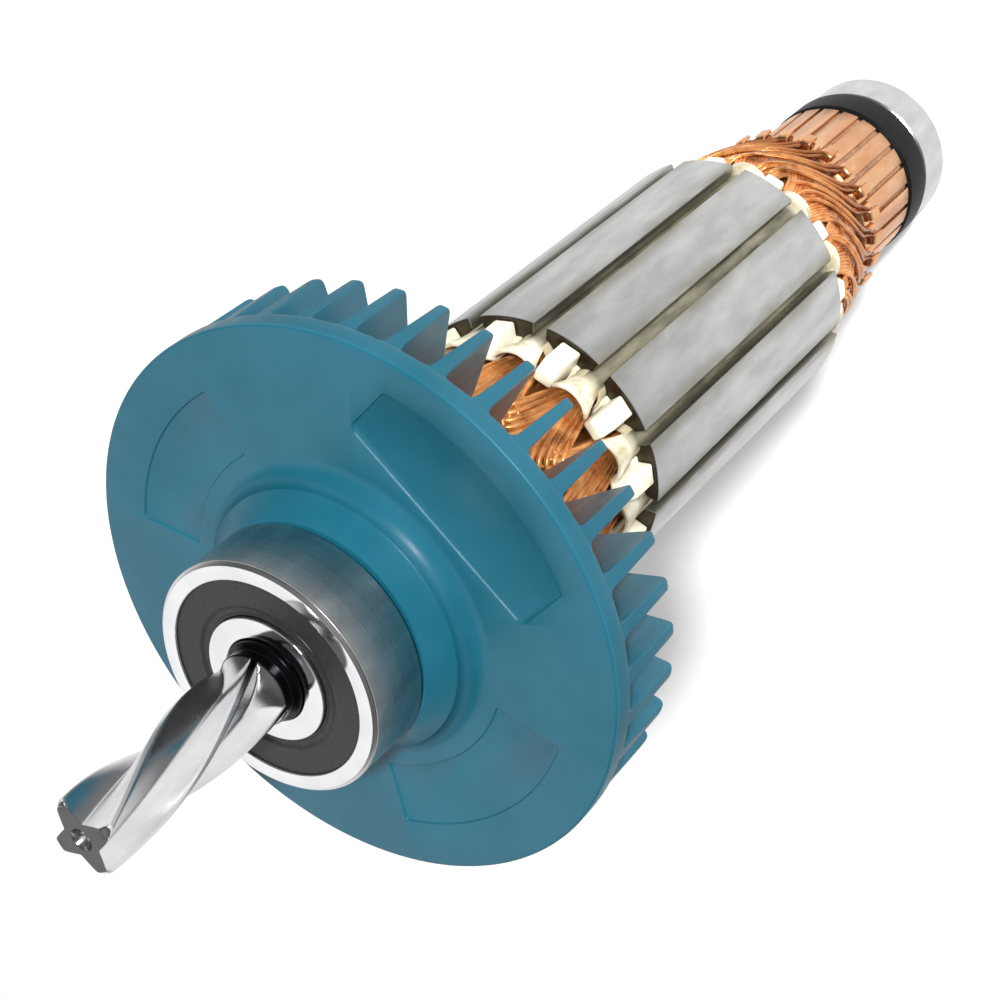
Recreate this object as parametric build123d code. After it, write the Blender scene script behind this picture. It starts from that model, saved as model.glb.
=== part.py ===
from build123d import *
import os
from math import cos, radians, sin, tan

# Motor armature of a hand-held power tool, standing on its rear bearing.
# The shaft's axis is +Z, the pinion is at the top and the origin is the centre of the rear bearing's
# lowest face. Lengths are in millimetres and angles in degrees, counted from +X about +Z.

# Rear bearing, a standard 8 x 22 x 7 deep groove ball bearing
rear_bore_r = 4.0
rear_outer_r = 11.0
rear_width = 7.0
rear_ball_r = 1.984
rear_ball_count = 7
rear_inner_land_r = 6.05
rear_seal_r = 9.5
rear_edge_chamfer = 0.5

# Front bearing, a standard 9 x 26 x 8 deep groove ball bearing
front_bore_r = 4.5
front_outer_r = 13.0
front_width = 8.0
front_ball_r = 2.381
front_ball_count = 7
front_inner_land_r = 6.92
front_seal_r = 11.04
front_edge_chamfer = 0.67

# What both bearings share
ball_play = 0.04
lip_clearance = 0.06
seal_thickness = 0.8
seal_recess = 0.25
seal_step = 0.45
seal_rib_share = 0.16
seal_dish_share = 0.28
cage_half_width = 0.95
cage_base_share = 0.3
cage_ball_play = 0.08
cage_seal_clearance = 0.1

# Lengths along the axis, stacked from the bottom up
shaft_end_recess = 0.3
dust_ring_clearance = 0.4
dust_ring_length = 5.5
commutator_end_gap = 0.4
brush_track_length = 12.5
riser_length = 4.0
rear_overhang_length = 18.0
core_length = 47.2
core_to_fan_face = 34.8
fan_face_to_bearing = 5.0
bearing_to_pinion_tip = 26.0

# Shaft
shaft_r = 5.0
fan_seat_r = 6.0
shaft_chamfer = 0.4
sleeve_r = 7.0
sleeve_rear_overhang = 16.5
sleeve_front_overhang = 17.5

# Pinion cut in the shaft
tooth_count = 4
tooth_crest_r = 4.0
tooth_gullet_r = 2.0
tooth_flank_r = 3.15
crest_half_angle = 4.5
flank_half_angle = 15.0
gullet_edge_angle = 35.0
gullet_edge_r = 2.2
pinion_lead = 63.0
tooth_angle_at_tip = -16.0
fluted_length = 24.2
flute_runout_length = 4.5
tip_chamfer = 0.55
centre_hole_r = 1.2
pilot_hole_r = 0.7
centre_hole_depth = 0.9
pilot_hole_depth = 2.4

# Fan
fan_r = 31.5
fan_disc_thickness = 2.6
fan_rim_radius = 0.4
blade_count = 38
blade_angle = -88.2
blade_tip_r = 31.2
blade_inner_r = 20.5
blade_reach = 12.2
blade_root_thickness = 1.7
blade_tip_thickness = 1.1
blade_root_fillet = 1.0
blade_corner_radius = 0.9
hub_bearing_gap = 0.4
hub_lip_r = 13.4
hub_lip_radius = 0.5
hub_ridge_r = 15.1
hub_ridge_height = 2.4
hub_fillet_r = 2.4
hub_rear_r = 10.0
hub_rear_length = 11.0
panel_depth = 0.25
panel_rim_r = 28.0
panel_corner_radius = 0.8
straight_panel_width = 24.8
straight_panel_offset = 0.4
straight_panel_inner = 18.3
sector_panel_outer_r = 26.0
sector_panel_inner_r = 18.6
sector_panel_angles = ((-13, 35), (144, 205))

# Laminated core
core_r = 16.75
slot_count = 12
slot_angle = -86.0
tooth_width = 2.6
slot_top_centre_r = 13.3
slot_bottom_centre_r = 9.8
slot_opening = 2.3

# Slot liner, wedge and coil side
liner_thickness = 0.25
wedge_thickness = 0.5
wedge_half_angle = 80.0
coil_side_middle_r = 12.2
coil_side_bottom_r = 9.85
liner_overhang = 0.4
front_wedge_overhang = 5.1
rear_wedge_overhang = 3.2
cuff_radius = 2.87
cuff_crown_r = 15.7
cuff_half_angle = 50.0
front_cuff_blend = 3.2
rear_cuff_blend = 1.6

# End insulators
insulator_r = 16.3
insulator_plate_r = 15.0
insulator_plate = 0.8
insulator_block_width = 2.5
insulator_block_inner_r = 13.4
front_block_height = 5.3
rear_block_height = 3.2
block_shoulder_share = 0.62
block_heel_share = 0.8
block_shoulder = 0.9
block_heel = 0.7

# End windings
coil_end_clearance = 0.1
winding_neck_r = 13.1
front_winding_length = 15.8
front_winding_r = 14.5
rear_winding_r = 15.0
rear_winding_gap = 0.4
winding_groove_r = 1.3
winding_groove_lean = 24.0
winding_groove_proud = 0.5
rear_groove_drop = 5.0

# Outlines of the end windings: how far each point is drawn in and how far it lies along the axis,
# from the corner of the front winding, the shoulder of the rear one and the riser it tapers to
front_bulge_rise = 1.6
front_crown = ((0.0, 5.8), (0.9, 2.5), (3.0, 0.3), (4.2, 0.0))
rear_belly = ((0.0, 1.2), (0.0, 4.0), (1.0, 8.0))
rear_toe = ((-1.0, 2.6), (-0.2, 0.8), (0.6, 0.0))

# Commutator
bar_count = 24
bar_gap_angle = -81.5
bar_r = 11.2
riser_r = 12.0
riser_slope_length = 0.5
riser_chamfer = 0.6
bar_root_r = 7.6
bar_neck_r = 9.0
bar_lip_length = 4.0
dovetail_angle = 60.0
mica_thickness = 0.6
mica_undercut = 0.5
hook_r = 13.1
hook_thickness = 0.5
hook_bend_radius = 0.8
hook_length = 2.6
hook_width = 1.3
hook_setback = 0.7
dust_ring_r = 11.35
dust_ring_edge = 0.4

# Heights that follow from the lengths above
rear_bearing_top = rear_width
dust_ring_base = rear_bearing_top + dust_ring_clearance
commutator_base = dust_ring_base + dust_ring_length
bar_base = commutator_base + commutator_end_gap
bar_top = bar_base + brush_track_length + riser_length
core_base = bar_top + rear_overhang_length
core_top = core_base + core_length
fan_face = core_top + core_to_fan_face
front_bearing_base = fan_face + fan_face_to_bearing
front_bearing_top = front_bearing_base + front_width
pinion_tip = front_bearing_top + bearing_to_pinion_tip


def turned(points):
    """Solid of revolution about the shaft's axis from an outline of (radius, height) points."""
    return revolve(Plane.XZ * make_face(Polyline(*points, close=True)), Axis.Z)


def around(shape, count, first_angle=0.0):
    """Copies of a shape, evenly spaced about the shaft's axis."""
    return [Rot(0, 0, first_angle + 360 / count * i) * shape for i in range(count)]


def polar(radius, angle):
    return (radius * cos(radians(angle)), radius * sin(radians(angle)))


def write(node, *solids):
    """One file for a node, which holds one solid or a group of separate ones."""
    shape = solids[0] if len(solids) == 1 else Compound(children=list(solids))
    export_step(shape, f"parts/{node}.step")


def all_solids(shapes):
    return [solid for shape in shapes for solid in shape.solids()]


# Bearings

def bearing(prefix, base, bore_r, outer_r, width, ball_r, count, inner_land_r, seal_r, chamfer):
    """Sealed ball bearing: two grooved rings, balls in a crown cage, and a seal at each face."""
    middle = base + width / 2
    top = base + width
    pitch_r = (bore_r + outer_r) / 2
    outer_land_r = seal_r - seal_step
    seat = seal_recess + seal_thickness
    bore_chamfer = chamfer / 2

    groove = Pos(0, 0, middle) * Torus(pitch_r, ball_r + ball_play)
    outer_ring = turned([
        (outer_r - chamfer, base), (outer_r, base + chamfer),
        (outer_r, top - chamfer), (outer_r - chamfer, top),
        (seal_r, top), (seal_r, top - seat),
        (outer_land_r, top - seat), (outer_land_r, base + seat),
        (seal_r, base + seat), (seal_r, base),
    ]) - groove
    inner_ring = turned([
        (bore_r + bore_chamfer, base), (inner_land_r, base),
        (inner_land_r, top), (bore_r + bore_chamfer, top),
        (bore_r, top - bore_chamfer), (bore_r, base + bore_chamfer),
    ]) - groove

    lip_r = inner_land_r + lip_clearance
    rib_r = lip_r + (seal_r - lip_r) * seal_rib_share
    dish_r = lip_r + (seal_r - lip_r) * seal_dish_share
    face = top - seal_recess
    seal = turned([
        (lip_r, face - seal_thickness), (seal_r, face - seal_thickness),
        (seal_r, face), (dish_r, face),
        (rib_r, face - seal_recess), (lip_r, face - seal_recess),
    ])
    rear_seal = mirror(seal, about=Plane.XY.offset(middle))

    balls = around(Pos(pitch_r, 0, middle) * Sphere(ball_r), count)
    cage_top = face - seal_thickness - cage_seal_clearance
    cage_base = middle + ball_r * cage_base_share
    cage = turned([
        (pitch_r - cage_half_width, cage_base), (pitch_r + cage_half_width, cage_base),
        (pitch_r + cage_half_width, cage_top), (pitch_r - cage_half_width, cage_top),
    ])
    for pocket in around(Pos(pitch_r, 0, middle) * Sphere(ball_r + cage_ball_play), count):
        cage -= pocket

    write(f"{prefix}_outer_ring", outer_ring)
    write(f"{prefix}_inner_ring", inner_ring)
    write(f"{prefix}_front_seal", seal)
    write(f"{prefix}_rear_seal", rear_seal)
    write(f"{prefix}_balls", *balls)
    write(f"{prefix}_cage", cage)


# Shaft with its pinion

def pinion_section():
    """Four rounded helical teeth seen in cross-section."""
    outline = Curve()
    for i in range(tooth_count):
        middle = 360 / tooth_count * i
        gap = middle + 180 / tooth_count
        next_flank = middle + 360 / tooth_count
        outline += ThreePointArc(
            polar(tooth_crest_r, middle - crest_half_angle),
            polar(tooth_crest_r, middle),
            polar(tooth_crest_r, middle + crest_half_angle),
        )
        outline += ThreePointArc(
            polar(tooth_crest_r, middle + crest_half_angle),
            polar(tooth_flank_r, middle + flank_half_angle),
            polar(gullet_edge_r, middle + gullet_edge_angle),
        )
        outline += ThreePointArc(
            polar(gullet_edge_r, middle + gullet_edge_angle),
            polar(tooth_gullet_r, gap),
            polar(gullet_edge_r, next_flank - gullet_edge_angle),
        )
        outline += ThreePointArc(
            polar(gullet_edge_r, next_flank - gullet_edge_angle),
            polar(tooth_flank_r, next_flank - flank_half_angle),
            polar(tooth_crest_r, next_flank - crest_half_angle),
        )
    return make_face(outline)


def shaft():
    """Stepped shaft whose front end carries the pinion, with flutes that run out on an arc."""
    flute_end = pinion_tip - fluted_length
    twist = 360 * fluted_length / pinion_lead
    section = Rot(0, 0, tooth_angle_at_tip + twist) * pinion_section()
    teeth = Solid.extrude_linear_with_rotation(
        section.face(), (0, 0, 0), (0, 0, fluted_length), -twist
    )
    teeth = Pos(0, 0, flute_end) * teeth

    depth = tooth_crest_r - tooth_gullet_r
    cutter_r = (flute_runout_length ** 2 + depth ** 2) / (2 * depth)
    half_run = flute_runout_length / 2
    half_rise = cutter_r - (cutter_r ** 2 - half_run ** 2) ** 0.5
    runout_top = flute_end + flute_runout_length
    runout = revolve(Plane.XZ * make_face(
        ThreePointArc(
            (tooth_crest_r, flute_end),
            (tooth_gullet_r + half_rise, flute_end + half_run),
            (tooth_gullet_r, runout_top),
        )
        + Polyline((tooth_gullet_r, runout_top), (0, runout_top), (0, flute_end), (tooth_crest_r, flute_end))
    ), Axis.Z)

    body = turned([
        (0, shaft_end_recess), (rear_bore_r - shaft_chamfer, shaft_end_recess),
        (rear_bore_r, shaft_end_recess + shaft_chamfer), (rear_bore_r, rear_bearing_top),
        (shaft_r, rear_bearing_top), (shaft_r, fan_face - hub_rear_length),
        (fan_seat_r, fan_face - hub_rear_length), (fan_seat_r, front_bearing_base),
        (front_bore_r, front_bearing_base), (front_bore_r, front_bearing_top + shaft_chamfer),
        (tooth_crest_r, front_bearing_top + shaft_chamfer + front_bore_r - tooth_crest_r),
        (tooth_crest_r, flute_end), (0, flute_end),
    ])
    envelope = turned([
        (0, 0), (core_r, 0), (core_r, flute_end), (tooth_crest_r, flute_end),
        (tooth_crest_r, pinion_tip - tip_chamfer), (tooth_crest_r - tip_chamfer, pinion_tip),
        (centre_hole_r, pinion_tip), (pilot_hole_r, pinion_tip - centre_hole_depth),
        (pilot_hole_r, pinion_tip - pilot_hole_depth), (0, pinion_tip - pilot_hole_depth),
    ])
    return (body + runout + teeth) & envelope


def insulating_sleeve():
    base = core_base - sleeve_rear_overhang
    top = core_top + sleeve_front_overhang
    return turned([(shaft_r, base), (sleeve_r, base), (sleeve_r, top), (shaft_r, top)])


# Fan

def blade():
    """One blade, wider at its root, with a round pocket corner on each side; it points along +X."""
    back = fan_face - fan_disc_thickness
    tip = fan_face - blade_reach
    root = blade_root_thickness / 2
    edge = blade_tip_thickness / 2
    r = blade_root_fillet
    sink = fan_disc_thickness / 2
    bend = r * (1 - cos(radians(45)))
    right = (
        Line((edge, tip), (root, back - r))
        + ThreePointArc((root, back - r), (root + bend, back - bend), (root + r, back))
        + Line((root + r, back), (root + r, back + sink))
    )
    left = mirror(right, about=Plane.YZ)
    tip_line = Line((edge, tip), (-edge, tip))
    sunk_line = Line((root + r, back + sink), (-root - r, back + sink))
    section = make_face(right + left + tip_line + sunk_line)
    across = Plane(origin=(blade_inner_r, 0, 0), x_dir=(0, 1, 0), z_dir=(1, 0, 0))
    plate = extrude(across * section, amount=fan_r - blade_inner_r)
    c = blade_corner_radius
    bow = c * (1 - cos(radians(45)))
    side = revolve(Plane.XZ * make_face(
        Polyline((blade_tip_r, tip + c), (blade_tip_r, back), (fan_r, back), (fan_r, fan_face), (0, fan_face),
                 (0, tip), (blade_tip_r - c, tip))
        + ThreePointArc((blade_tip_r - c, tip), (blade_tip_r - bow, tip + bow), (blade_tip_r, tip + c))
    ), Axis.Z)
    return plate & side


def face_panels():
    """Three bare, shallow recesses in the fan's front face."""
    middle = (straight_panel_inner + panel_rim_r) / 2
    strip = Rectangle(straight_panel_width, panel_rim_r - straight_panel_inner)
    shapes = [Circle(panel_rim_r) & Pos(straight_panel_offset, -middle) * strip]
    ring = Circle(sector_panel_outer_r) - Circle(sector_panel_inner_r)
    for first, last in sector_panel_angles:
        wedge = Polygon((0, 0), polar(2 * fan_r, first), polar(2 * fan_r, last), align=None)
        shapes.append(ring & wedge)
    outlines = [fillet(shape.vertices(), panel_corner_radius) for shape in shapes]
    return [Pos(0, 0, fan_face - panel_depth) * extrude(outline, amount=1.0) for outline in outlines]


def fan():
    """One moulding: hub that ends just behind the bearing, disc and a ring of radial blades."""
    back = fan_face - fan_disc_thickness
    hub_front = front_bearing_base - hub_bearing_gap
    ridge = fan_face + hub_ridge_height
    foot_r = hub_ridge_r + hub_fillet_r
    hub_rear = fan_face - hub_rear_length
    dip = 1 - cos(radians(45))
    outline = (
        Polyline(
            (fan_seat_r, hub_rear), (hub_rear_r, hub_rear), (hub_rear_r, back), (fan_r, back),
            (fan_r, fan_face - fan_rim_radius), (fan_r - fan_rim_radius, fan_face), (foot_r, fan_face),
        )
        + ThreePointArc(
            (foot_r, fan_face),
            (hub_ridge_r + hub_fillet_r * dip, fan_face + hub_ridge_height * dip),
            (hub_ridge_r, ridge),
        )
        + Polyline(
            (hub_ridge_r, ridge), (hub_lip_r, hub_front - hub_lip_radius),
            (hub_lip_r - hub_lip_radius, hub_front), (fan_seat_r, hub_front), (fan_seat_r, hub_rear),
        )
    )
    body = revolve(Plane.XZ * make_face(outline), Axis.Z)
    body += around(blade(), blade_count, blade_angle)
    for panel in face_panels():
        body -= panel
    return body


# Core, insulation and coils

def slot_circle(centre_r, inset=0.0):
    """Circle that touches both neighbouring teeth of a slot lying along +X, drawn in by an inset."""
    half_pitch = radians(180 / slot_count)
    return Pos(centre_r, 0) * Circle(centre_r * sin(half_pitch) - tooth_width / 2 - inset)


def slot_section(inset=0.0):
    top = slot_circle(slot_top_centre_r, inset)
    bottom = slot_circle(slot_bottom_centre_r, inset)
    return make_hull(top.edges() + bottom.edges())


def lamination(outer_r):
    """Outline of the core: a disc with teeth between twelve pear-shaped slots."""
    mouth = Pos(core_r, 0) * Rectangle(2 * (core_r - slot_top_centre_r), slot_opening)
    slot = slot_section() + mouth
    sheet = Circle(outer_r) - Circle(sleeve_r)
    for cut in around(slot, slot_count, slot_angle):
        sheet -= cut
    return sheet


def core():
    return Pos(0, 0, core_base) * extrude(lamination(core_r), amount=core_length)


def slot_liners():
    """Paper linings, open at the slot's mouth."""
    mouth = Pos(core_r, 0) * Rectangle(2 * (core_r - slot_top_centre_r), slot_opening)
    paper = slot_section() - slot_section(liner_thickness) - mouth
    overhang = insulator_plate + liner_overhang
    liner = Pos(0, 0, core_base - overhang) * extrude(paper, amount=core_length + 2 * overhang)
    return all_solids(around(liner, slot_count, slot_angle))


def arch(centre_r, middle_radius, half_angle):
    """Section of a bent strip, with its crown outwards along +X."""
    def arc(radius):
        return ThreePointArc(
            (centre_r + radius * cos(radians(half_angle)), -radius * sin(radians(half_angle))),
            (centre_r + radius, 0),
            (centre_r + radius * cos(radians(half_angle)), radius * sin(radians(half_angle))),
        )
    outer = arc(middle_radius + wedge_thickness / 2)
    inner = arc(middle_radius - wedge_thickness / 2)
    return make_face(outer + inner + Line(outer @ 0, inner @ 0) + Line(outer @ 1, inner @ 1))


def slot_wedges():
    """Bent strips that close the slots, opening out into wider arches past the core's ends."""
    half_pitch = radians(180 / slot_count)
    seat_radius = slot_top_centre_r * sin(half_pitch) - tooth_width / 2 - liner_thickness
    strip = arch(slot_top_centre_r, seat_radius - wedge_thickness / 2, wedge_half_angle)
    cuff = arch(cuff_crown_r - cuff_radius, cuff_radius, cuff_half_angle)
    straight_end = insulator_plate + liner_overhang
    low = core_base - straight_end
    high = core_top + straight_end
    wedge = Pos(0, 0, low) * extrude(strip, amount=high - low)
    for end, direction, overhang, blend in (
        (high, 1, front_wedge_overhang, front_cuff_blend), (low, -1, rear_wedge_overhang, rear_cuff_blend)
    ):
        blend_end = end + direction * blend
        wedge += loft([Pos(0, 0, end) * strip, Pos(0, 0, blend_end) * cuff])
        reach = overhang - straight_end - blend
        wedge += Pos(0, 0, blend_end) * extrude(cuff, amount=direction * reach)
    return all_solids(around(wedge, slot_count, slot_angle))


def coil_sides():
    """The straight copper sides of the coils, one bundle in each slot."""
    half_pitch = radians(180 / slot_count)
    top_radius = slot_top_centre_r * sin(half_pitch) - tooth_width / 2 - liner_thickness - wedge_thickness
    section = make_hull(
        (Pos(slot_top_centre_r, 0) * Circle(top_radius)).edges()
        + slot_circle(coil_side_middle_r, liner_thickness).edges()
        + slot_circle(coil_side_bottom_r, liner_thickness).edges()
    )
    overhang = insulator_plate + liner_overhang + coil_end_clearance
    side = Pos(0, 0, core_base - overhang) * extrude(section, amount=core_length + 2 * overhang)
    return all_solids(around(side, slot_count, slot_angle))


def end_insulator(face, direction, block_height):
    """Moulded spider against the core's end, with a block in front of each tooth."""
    plate = Pos(0, 0, face) * extrude(lamination(insulator_plate_r), amount=direction * insulator_plate)
    inner = insulator_block_inner_r
    end = face + direction * block_height
    shoulder = face + direction * block_height * block_shoulder_share
    heel = face + direction * block_height * block_heel_share
    outline = Polyline(
        (inner, face), (insulator_r, face), (insulator_r, shoulder), (insulator_r - block_shoulder, end),
        (inner + block_heel, end), (inner, heel), close=True,
    )
    block = extrude(Plane.XZ * make_face(outline), amount=insulator_block_width / 2, both=True)
    tooth_angle = slot_angle + 180 / slot_count
    return plate + around(block, slot_count, tooth_angle)


def winding_grooves(middle, lean, reach_r):
    """Leaning cuts between the coil bundles of an end winding."""
    cutter = Cylinder(winding_groove_r, core_r * 2)
    tooth_angle = slot_angle + 180 / slot_count
    return around(Pos(reach_r, 0, middle) * Rot(lean, 0, 0) * cutter, slot_count, tooth_angle)


def front_end_winding():
    """Copper overhang at the fan's end: twelve leaning bundles around the sleeve."""
    base = core_top + insulator_plate + liner_overhang + coil_end_clearance
    clear = core_top + front_block_height + coil_end_clearance
    top = core_top + front_winding_length
    body = turned([
        (sleeve_r, base), (winding_neck_r, base), (winding_neck_r, clear),
        (front_winding_r, clear + front_bulge_rise),
        *[(front_winding_r - inset, top - down) for inset, down in front_crown],
        (sleeve_r, top),
    ])
    cuts = winding_grooves((clear + top) / 2, winding_groove_lean, front_winding_r + winding_groove_proud)
    for cut in cuts:
        body -= cut
    return body


def rear_end_winding():
    """Copper overhang that tapers down to the commutator's risers."""
    base = core_base - insulator_plate - liner_overhang - coil_end_clearance
    clear = core_base - rear_block_height - coil_end_clearance
    foot = bar_top + rear_winding_gap
    body = turned([
        (sleeve_r, base), (winding_neck_r, base), (winding_neck_r, clear),
        *[(rear_winding_r - inset, clear - down) for inset, down in rear_belly],
        *[(riser_r - inset, foot + up) for inset, up in rear_toe],
        (sleeve_r, foot),
    ])
    cuts = winding_grooves(
        clear - rear_groove_drop, -winding_groove_lean, rear_winding_r + winding_groove_proud
    )
    for cut in cuts:
        body -= cut
    return body


# Commutator

def bar_profile(outer_r, head_r):
    """Half section of the copper, held by a dovetail in the hub: points of (radius, height)."""
    track_top = bar_base + brush_track_length
    slope = (bar_neck_r - bar_root_r) * tan(radians(dovetail_angle))
    return [
        (bar_neck_r, bar_base), (outer_r, bar_base), (outer_r, track_top),
        (head_r, track_top + riser_slope_length), (head_r, bar_top - riser_chamfer),
        (head_r - riser_chamfer, bar_top),
        (bar_neck_r, bar_top), (bar_neck_r, track_top), (bar_root_r, track_top - slope),
        (bar_root_r, bar_base + bar_lip_length + slope), (bar_neck_r, bar_base + bar_lip_length),
    ]


def mica_slabs():
    reach = riser_r - bar_root_r + 2 * mica_thickness
    slab = Box(reach, mica_thickness, bar_top - bar_base + 2 * mica_thickness)
    middle = Pos((bar_root_r + riser_r) / 2, 0, (bar_base + bar_top) / 2)
    return around(middle * slab, bar_count, bar_gap_angle)


def hooks():
    """Tangs on the bars' risers, bent back over the leads of the coils."""
    top = bar_top - hook_setback
    foot_r = riser_r - hook_thickness
    inner_r = hook_r - hook_thickness
    bend_r = hook_r - hook_bend_radius
    bend_z = top - hook_bend_radius
    under = top - hook_thickness
    end = top - hook_length
    inner_bend = hook_bend_radius - hook_thickness
    slant = cos(radians(45))
    outline = (
        Polyline((inner_r, bend_z), (inner_r, end), (hook_r, end), (hook_r, bend_z))
        + ThreePointArc(
            (hook_r, bend_z),
            (bend_r + hook_bend_radius * slant, bend_z + hook_bend_radius * slant),
            (bend_r, top),
        )
        + Polyline((bend_r, top), (foot_r, top), (foot_r, under), (bend_r, under))
        + ThreePointArc(
            (bend_r, under),
            (bend_r + inner_bend * slant, bend_z + inner_bend * slant),
            (inner_r, bend_z),
        )
    )
    tang = extrude(Plane.XZ * make_face(outline), amount=hook_width / 2, both=True)
    return around(tang, bar_count, bar_gap_angle + 180 / bar_count)


def commutator_bars():
    ring = turned(bar_profile(bar_r, riser_r))
    for slab in mica_slabs():
        ring -= slab
    ring += hooks()
    return all_solids([ring])


def commutator_mica():
    ring = turned(bar_profile(bar_r - mica_undercut, bar_r - mica_undercut))
    return all_solids([ring & slab for slab in mica_slabs()])


def commutator_hub():
    """Moulded hub that grips the bars' dovetails and stands on the dust ring."""
    track_top = bar_base + brush_track_length
    slope = (bar_neck_r - bar_root_r) * tan(radians(dovetail_angle))
    flange_r = bar_r - mica_undercut
    return turned([
        (shaft_r, commutator_base), (flange_r, commutator_base), (flange_r, bar_base),
        (bar_neck_r, bar_base), (bar_neck_r, bar_base + bar_lip_length),
        (bar_root_r, bar_base + bar_lip_length + slope), (bar_root_r, track_top - slope),
        (bar_neck_r, track_top), (bar_neck_r, bar_top), (shaft_r, bar_top),
    ])


def dust_ring():
    """Black moulded ring between commutator and bearing; its boss meets the bearing's inner ring."""
    boss_r = rear_inner_land_r - lip_clearance
    return turned([
        (shaft_r, rear_bearing_top), (boss_r, rear_bearing_top), (boss_r, dust_ring_base),
        (dust_ring_r - dust_ring_edge, dust_ring_base), (dust_ring_r, dust_ring_base + dust_ring_edge),
        (dust_ring_r, commutator_base - dust_ring_edge), (dust_ring_r - dust_ring_edge, commutator_base),
        (shaft_r, commutator_base),
    ])


os.makedirs("parts", exist_ok=True)

bearing("rear_bearing", 0, rear_bore_r, rear_outer_r, rear_width, rear_ball_r,
        rear_ball_count, rear_inner_land_r, rear_seal_r, rear_edge_chamfer)
bearing("front_bearing", front_bearing_base, front_bore_r, front_outer_r, front_width, front_ball_r,
        front_ball_count, front_inner_land_r, front_seal_r, front_edge_chamfer)
write("shaft", shaft())
write("insulating_sleeve", insulating_sleeve())
write("fan", fan())
write("lamination_stack", core())
write("slot_liners", *slot_liners())
write("slot_wedges", *slot_wedges())
write("slot_coil_sides", *coil_sides())
write("front_end_insulator", end_insulator(core_top, 1, front_block_height))
write("rear_end_insulator", end_insulator(core_base, -1, rear_block_height))
write("front_end_winding", front_end_winding())
write("rear_end_winding", rear_end_winding())
write("commutator_bars", *commutator_bars())
write("commutator_mica", *commutator_mica())
write("commutator_hub", commutator_hub())
write("dust_ring", dust_ring())
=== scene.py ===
"""Looks of a motor armature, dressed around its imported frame. Lengths are in millimetres unless a docstring
says otherwise, and angles in degrees about the shaft, which is the Z axis."""
import random
from math import asin, atan2, cos, degrees, hypot, pi, radians, sin, sqrt, tan

import bmesh
import bpy
from mathutils import Matrix, Vector
from mathutils.geometry import tessellate_polygon


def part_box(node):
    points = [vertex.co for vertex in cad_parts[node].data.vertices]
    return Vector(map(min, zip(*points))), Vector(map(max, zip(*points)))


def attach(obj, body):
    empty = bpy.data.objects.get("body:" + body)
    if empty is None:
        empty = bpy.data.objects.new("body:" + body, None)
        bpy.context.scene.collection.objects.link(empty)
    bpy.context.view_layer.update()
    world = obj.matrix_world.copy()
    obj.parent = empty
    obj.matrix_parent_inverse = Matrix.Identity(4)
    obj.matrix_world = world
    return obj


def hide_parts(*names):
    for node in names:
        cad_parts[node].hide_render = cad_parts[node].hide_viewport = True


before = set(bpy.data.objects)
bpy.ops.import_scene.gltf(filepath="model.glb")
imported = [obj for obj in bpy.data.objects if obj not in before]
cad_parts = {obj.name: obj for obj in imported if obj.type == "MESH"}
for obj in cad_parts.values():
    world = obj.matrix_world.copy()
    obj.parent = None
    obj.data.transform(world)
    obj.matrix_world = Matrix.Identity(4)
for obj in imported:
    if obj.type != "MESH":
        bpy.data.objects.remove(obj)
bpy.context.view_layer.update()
MM = 0.001
scene = bpy.context.scene


def span(node):
    """Lowest and highest level of a node."""
    low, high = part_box(node)
    return low.z / MM, high.z / MM


def reach(node):
    """Largest distance of a node from the shaft's axis."""
    return max(hypot(v.co.x, v.co.y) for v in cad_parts[node].data.vertices) / MM


def bore(node):
    """Smallest distance of a node from the shaft's axis."""
    return min(hypot(v.co.x, v.co.y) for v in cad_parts[node].data.vertices) / MM


# Sizes read from the frame; the fan's hub stands out of its face, and a boss holds the ring off the bearing
hub_height, boss_height = 5.0, 0.4
core_base, core_top = span("lamination_stack")
core_r = reach("lamination_stack")
sleeve_r = bore("lamination_stack")
blade_tips, hub_front = span("fan")
fan_face = span("front_bearing_inner_ring")[0] - hub_height
fan_r = reach("fan")
shaft_end, pinion_tip = span("shaft")
bar_base, bar_top = span("commutator_bars")
hook_r = reach("commutator_bars")
boss_base, ring_top = span("dust_ring")
ring_base = boss_base + boss_height
ring_r = reach("dust_ring")
winding_low, winding_high = span("front_end_winding")
rear_foot, rear_head = span("rear_end_winding")

# Sizes of the forms, as in the part, except that the slots' openings are narrower here, as in the photo
slot_count = 12
slot_angle = -86.0
tooth_width = 2.6
slot_top_r = 13.3
slot_bottom_r = 9.8
slot_opening = 1.6
insulator_opening = 4.0
hub_rear = fan_face - 11.0
disc_back = fan_face - 2.6
blade_count = 38
blade_angle = -88.2
bar_count = 24
bar_gap_angle = -81.5
riser_r = 12.0
shaft_r = 5.0
front_seat_r = 4.5
rear_seat_r = 4.0
pinion_lead = 63.0
tooth_angle_at_tip = -16.0
fluted_length = 24.2
runout_length = 4.5
tip_chamfer = 0.55

# Depth to which a flat end takes a colour of its own
skin_depth = 0.04


# Outlines and meshes

def polar(radius, angle, z=None):
    x, y = radius * cos(radians(angle)), radius * sin(radians(angle))
    return (x, y) if z is None else (x, y, z)


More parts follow.
